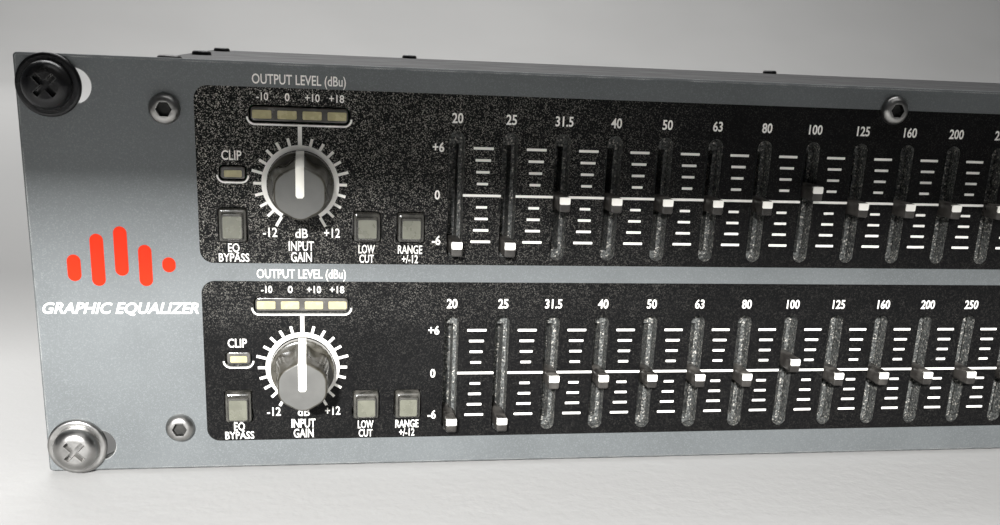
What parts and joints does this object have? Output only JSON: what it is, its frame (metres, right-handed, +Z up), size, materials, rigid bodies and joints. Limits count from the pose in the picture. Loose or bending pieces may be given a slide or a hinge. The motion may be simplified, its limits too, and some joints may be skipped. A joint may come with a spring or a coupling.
{
  "type": "graphic equalizer",
  "caption": "Rack-mounted two-channel graphic equalizer: wide flat front panel with rows of sliding levers, gain knobs and push buttons, on a shallow sheet-metal chassis with rear sockets.",
  "frame": {"origin": "under the middle of the whole object, on the plane the chassis stands on", "axes": "+X to the right seen from the front, +Y backwards (the front panel faces -Y), +Z up"},
  "size_m": [0.4826, 0.2188, 0.0886],
  "materials": {
    "panel_paint": "fine metallic paint, two black print fields",
    "chassis_paint": "black powder coat",
    "circuit_board": "green solder mask over glass laminate",
    "fader_case": "dull plated steel, dusty",
    "pot_case": "plated steel",
    "switch_plastic": "moulded",
    "light_bar": "clear with pale windows",
    "socket_metal": "black plated die-cast shell",
    "jack_plastic": "moulded, plated nut",
    "inlet_plastic": "moulded",
    "winding": "yellow tape over copper wire",
    "bright_steel": "bright nickel plate",
    "black_screw": "black zinc plate",
    "nylon": "natural nylon",
    "ribbon": "grey PVC",
    "rocker_plastic": "moulded",
    "lever_plastic": "moulded, white index mark",
    "knob_plastic": "smoky translucent, grey face, white pointer",
    "button_plastic": "smoky translucent with a paler window"
  },
  "bodies": {
    "equalizer": {"front_panel": "panel_paint", "chassis_tray": "chassis_paint", "top_cover": "chassis_paint", "main_board": "circuit_board", "fader_housings": "fader_case", "gain_pots": "pot_case", "button_switches": "switch_plastic", "indicator_lights": "light_bar", "rear_board": "circuit_board", "xlr_sockets": "socket_metal", "jack_sockets": "jack_plastic", "mains_inlet": "inlet_plastic", "switch_frame": "inlet_plastic", "transformer": "winding", "panel_screws": "bright_steel", "small_screws": "black_screw", "rack_screws": "black_screw", "rack_washers": "black_screw", "board_pillars": "nylon", "ribbon_cable": "ribbon"},
    "fader_20_hz": {"fader_20_hz": "lever_plastic"},
    "fader_25_hz": {"fader_25_hz": "lever_plastic"},
    "fader_31_5_hz": {"fader_31_5_hz": "lever_plastic"},
    "fader_40_hz": {"fader_40_hz": "lever_plastic"},
    "fader_50_hz": {"fader_50_hz": "lever_plastic"},
    "fader_63_hz": {"fader_63_hz": "lever_plastic"},
    "fader_80_hz": {"fader_80_hz": "lever_plastic"},
    "fader_100_hz": {"fader_100_hz": "lever_plastic"},
    "fader_125_hz": {"fader_125_hz": "lever_plastic"},
    "fader_160_hz": {"fader_160_hz": "lever_plastic"},
    "fader_200_hz": {"fader_200_hz": "lever_plastic"},
    "fader_250_hz": {"fader_250_hz": "lever_plastic"},
    "fader_315_hz": {"fader_315_hz": "lever_plastic"},
    "fader_400_hz": {"fader_400_hz": "lever_plastic"},
    "fader_500_hz": {"fader_500_hz": "lever_plastic"},
    "fader_630_hz": {"fader_630_hz": "lever_plastic"},
    "fader_800_hz": {"fader_800_hz": "lever_plastic"},
    "fader_1_khz": {"fader_1_khz": "lever_plastic"},
    "fader_1_25_khz": {"fader_1_25_khz": "lever_plastic"},
    "fader_1_6_khz": {"fader_1_6_khz": "lever_plastic"},
    "fader_2_khz": {"fader_2_khz": "lever_plastic"},
    "fader_2_5_khz": {"fader_2_5_khz": "lever_plastic"},
    "fader_3_15_khz": {"fader_3_15_khz": "lever_plastic"},
    "fader_4_khz": {"fader_4_khz": "lever_plastic"},
    "fader_5_khz": {"fader_5_khz": "lever_plastic"},
    "fader_6_3_khz": {"fader_6_3_khz": "lever_plastic"},
    "fader_8_khz": {"fader_8_khz": "lever_plastic"},
    "fader_10_khz": {"fader_10_khz": "lever_plastic"},
    "fader_12_5_khz": {"fader_12_5_khz": "lever_plastic"},
    "fader_16_khz": {"fader_16_khz": "lever_plastic"},
    "fader_20_khz": {"fader_20_khz": "lever_plastic"},
    "gain_knob_1": {"gain_knob_1": "knob_plastic"},
    "gain_knob_2": {"gain_knob_2": "knob_plastic"},
    "eq_bypass_button_1": {"eq_bypass_button_1": "button_plastic"},
    "low_cut_button_1": {"low_cut_button_1": "button_plastic"},
    "range_button_1": {"range_button_1": "button_plastic"},
    "eq_bypass_button_2": {"eq_bypass_button_2": "button_plastic"},
    "low_cut_button_2": {"low_cut_button_2": "button_plastic"},
    "range_button_2": {"range_button_2": "button_plastic"},
    "power_rocker": {"power_rocker": "rocker_plastic"}
  },
  "joints": [
    {"name": "fader_20_hz_slide", "type": "slide", "parent": "equalizer", "child": "fader_20_hz", "axis": [0, 0, 1], "range_m": [0, 0.02]},
    {"name": "fader_25_hz_slide", "type": "slide", "parent": "equalizer", "child": "fader_25_hz", "axis": [0, 0, 1], "range_m": [0, 0.02]},
    {"name": "fader_31_5_hz_slide", "type": "slide", "parent": "equalizer", "child": "fader_31_5_hz", "axis": [0, 0, 1], "range_m": [-0.01, 0.01]},
    {"name": "fader_40_hz_slide", "type": "slide", "parent": "equalizer", "child": "fader_40_hz", "axis": [0, 0, 1], "range_m": [-0.01, 0.01]},
    {"name": "fader_50_hz_slide", "type": "slide", "parent": "equalizer", "child": "fader_50_hz", "axis": [0, 0, 1], "range_m": [-0.01, 0.01]},
    {"name": "fader_63_hz_slide", "type": "slide", "parent": "equalizer", "child": "fader_63_hz", "axis": [0, 0, 1], "range_m": [-0.01, 0.01]},
    {"name": "fader_80_hz_slide", "type": "slide", "parent": "equalizer", "child": "fader_80_hz", "axis": [0, 0, 1], "range_m": [-0.01, 0.01]},
    {"name": "fader_100_hz_slide", "type": "slide", "parent": "equalizer", "child": "fader_100_hz", "axis": [0, 0, 1], "range_m": [-0.0135, 0.0065]},
    {"name": "fader_125_hz_slide", "type": "slide", "parent": "equalizer", "child": "fader_125_hz", "axis": [0, 0, 1], "range_m": [-0.01, 0.01]},
    {"name": "fader_160_hz_slide", "type": "slide", "parent": "equalizer", "child": "fader_160_hz", "axis": [0, 0, 1], "range_m": [-0.01, 0.01]},
    {"name": "fader_200_hz_slide", "type": "slide", "parent": "equalizer", "child": "fader_200_hz", "axis": [0, 0, 1], "range_m": [-0.01, 0.01]},
    {"name": "fader_250_hz_slide", "type": "slide", "parent": "equalizer", "child": "fader_250_hz", "axis": [0, 0, 1], "range_m": [-0.01, 0.01]},
    {"name": "fader_315_hz_slide", "type": "slide", "parent": "equalizer", "child": "fader_315_hz", "axis": [0, 0, 1], "range_m": [-0.01, 0.01]},
    {"name": "fader_400_hz_slide", "type": "slide", "parent": "equalizer", "child": "fader_400_hz", "axis": [0, 0, 1], "range_m": [-0.01, 0.01]},
    {"name": "fader_500_hz_slide", "type": "slide", "parent": "equalizer", "child": "fader_500_hz", "axis": [0, 0, 1], "range_m": [-0.01, 0.01]},
    {"name": "fader_630_hz_slide", "type": "slide", "parent": "equalizer", "child": "fader_630_hz", "axis": [0, 0, 1], "range_m": [-0.01, 0.01]},
    {"name": "fader_800_hz_slide", "type": "slide", "parent": "equalizer", "child": "fader_800_hz", "axis": [0, 0, 1], "range_m": [-0.01, 0.01]},
    {"name": "fader_1_khz_slide", "type": "slide", "parent": "equalizer", "child": "fader_1_khz", "axis": [0, 0, 1], "range_m": [-0.01, 0.01]},
    {"name": "fader_1_25_khz_slide", "type": "slide", "parent": "equalizer", "child": "fader_1_25_khz", "axis": [0, 0, 1], "range_m": [-0.01, 0.01]},
    {"name": "fader_1_6_khz_slide", "type": "slide", "parent": "equalizer", "child": "fader_1_6_khz", "axis": [0, 0, 1], "range_m": [-0.01, 0.01]},
    {"name": "fader_2_khz_slide", "type": "slide", "parent": "equalizer", "child": "fader_2_khz", "axis": [0, 0, 1], "range_m": [-0.01, 0.01]},
    {"name": "fader_2_5_khz_slide", "type": "slide", "parent": "equalizer", "child": "fader_2_5_khz", "axis": [0, 0, 1], "range_m": [-0.01, 0.01]},
    {"name": "fader_3_15_khz_slide", "type": "slide", "parent": "equalizer", "child": "fader_3_15_khz", "axis": [0, 0, 1], "range_m": [-0.01, 0.01]},
    {"name": "fader_4_khz_slide", "type": "slide", "parent": "equalizer", "child": "fader_4_khz", "axis": [0, 0, 1], "range_m": [-0.01, 0.01]},
    {"name": "fader_5_khz_slide", "type": "slide", "parent": "equalizer", "child": "fader_5_khz", "axis": [0, 0, 1], "range_m": [-0.01, 0.01]},
    {"name": "fader_6_3_khz_slide", "type": "slide", "parent": "equalizer", "child": "fader_6_3_khz", "axis": [0, 0, 1], "range_m": [-0.01, 0.01]},
    {"name": "fader_8_khz_slide", "type": "slide", "parent": "equalizer", "child": "fader_8_khz", "axis": [0, 0, 1], "range_m": [-0.01, 0.01]},
    {"name": "fader_10_khz_slide", "type": "slide", "parent": "equalizer", "child": "fader_10_khz", "axis": [0, 0, 1], "range_m": [-0.01, 0.01]},
    {"name": "fader_12_5_khz_slide", "type": "slide", "parent": "equalizer", "child": "fader_12_5_khz", "axis": [0, 0, 1], "range_m": [-0.01, 0.01]},
    {"name": "fader_16_khz_slide", "type": "slide", "parent": "equalizer", "child": "fader_16_khz", "axis": [0, 0, 1], "range_m": [-0.01, 0.01]},
    {"name": "fader_20_khz_slide", "type": "slide", "parent": "equalizer", "child": "fader_20_khz", "axis": [0, 0, 1], "range_m": [-0.01, 0.01]},
    {"name": "gain_knob_1_turn", "type": "hinge", "parent": "equalizer", "child": "gain_knob_1", "pos_m": [-0.18645, -0.105, 0.06401], "axis": [0, 1, 0], "range_deg": [-150, 150]},
    {"name": "gain_knob_2_turn", "type": "hinge", "parent": "equalizer", "child": "gain_knob_2", "pos_m": [-0.18645, -0.105, 0.02371], "axis": [0, 1, 0], "range_deg": [-150, 150]},
    {"name": "eq_bypass_button_1_press", "type": "slide", "parent": "equalizer", "child": "eq_bypass_button_1", "axis": [0, 1, 0], "range_m": [0, 0.002], "stiffness_N_per_m": 200},
    {"name": "low_cut_button_1_press", "type": "slide", "parent": "equalizer", "child": "low_cut_button_1", "axis": [0, 1, 0], "range_m": [0, 0.002], "stiffness_N_per_m": 200},
    {"name": "range_button_1_press", "type": "slide", "parent": "equalizer", "child": "range_button_1", "axis": [0, 1, 0], "range_m": [0, 0.002], "stiffness_N_per_m": 200},
    {"name": "eq_bypass_button_2_press", "type": "slide", "parent": "equalizer", "child": "eq_bypass_button_2", "axis": [0, 1, 0], "range_m": [0, 0.002], "stiffness_N_per_m": 200},
    {"name": "low_cut_button_2_press", "type": "slide", "parent": "equalizer", "child": "low_cut_button_2", "axis": [0, 1, 0], "range_m": [0, 0.002], "stiffness_N_per_m": 200},
    {"name": "range_button_2_press", "type": "slide", "parent": "equalizer", "child": "range_button_2", "axis": [0, 1, 0], "range_m": [0, 0.002], "stiffness_N_per_m": 200},
    {"name": "power_rocker_turn", "type": "hinge", "parent": "equalizer", "child": "power_rocker", "pos_m": [0.132, 0.10365, 0.03], "axis": [1, 0, 0], "range_deg": [-20, 0]}
  ]
}
